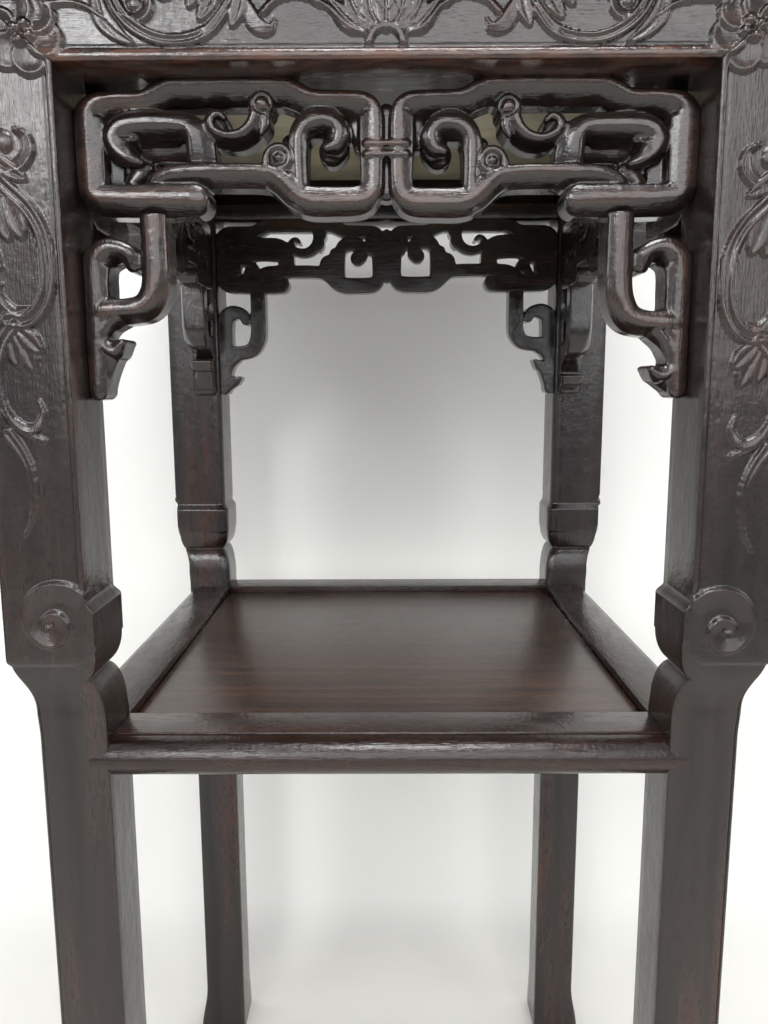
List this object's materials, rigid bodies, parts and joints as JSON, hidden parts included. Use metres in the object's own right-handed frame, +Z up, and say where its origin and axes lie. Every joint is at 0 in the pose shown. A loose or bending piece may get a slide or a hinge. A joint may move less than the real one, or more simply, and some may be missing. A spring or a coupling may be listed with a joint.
{
  "type": "carved hardwood stand",
  "caption": "Tall square two-tier stand in dark polished hardwood: carved frieze, openwork fret aprons, bracket spandrels, scrolled knees, framed shelf and a stone slab in the top.",
  "frame": {"origin": "on the floor, under the centre of the square stand", "axes": "+Z up; +X to the right and +Y away from a viewer who faces the front"},
  "size_m": [0.392, 0.392, 0.793],
  "materials": {
    "dark_wood": "waxed, semi-gloss",
    "carved_wood": "waxed, semi-gloss",
    "panel_wood": "polished",
    "pale_stone": "honed marble",
    "bamboo": "raw"
  },
  "bodies": {
    "root": {"leg_front_left": "dark_wood", "leg_front_right": "dark_wood", "leg_back_right": "dark_wood", "leg_back_left": "dark_wood", "frieze_front": "carved_wood", "frieze_right": "carved_wood", "frieze_back": "carved_wood", "frieze_left": "carved_wood", "fret_front": "carved_wood", "fret_right": "carved_wood", "fret_back": "carved_wood", "fret_left": "carved_wood", "spandrel_front_left": "carved_wood", "spandrel_front_right": "carved_wood", "spandrel_right_front": "carved_wood", "spandrel_right_back": "carved_wood", "spandrel_back_right": "carved_wood", "spandrel_back_left": "carved_wood", "spandrel_left_back": "carved_wood", "spandrel_left_front": "carved_wood", "shelf_rail_front": "dark_wood", "shelf_rail_right": "dark_wood", "shelf_rail_back": "dark_wood", "shelf_rail_left": "dark_wood", "shelf_panel": "panel_wood", "shelf_batten": "dark_wood", "top_rail_front": "dark_wood", "top_rail_back": "dark_wood", "top_stile_right": "dark_wood", "top_stile_left": "dark_wood", "top_slab": "pale_stone", "top_batten": "dark_wood", "fret_pins": "bamboo", "spandrel_pins": "bamboo"}
  },
  "joints": []
}
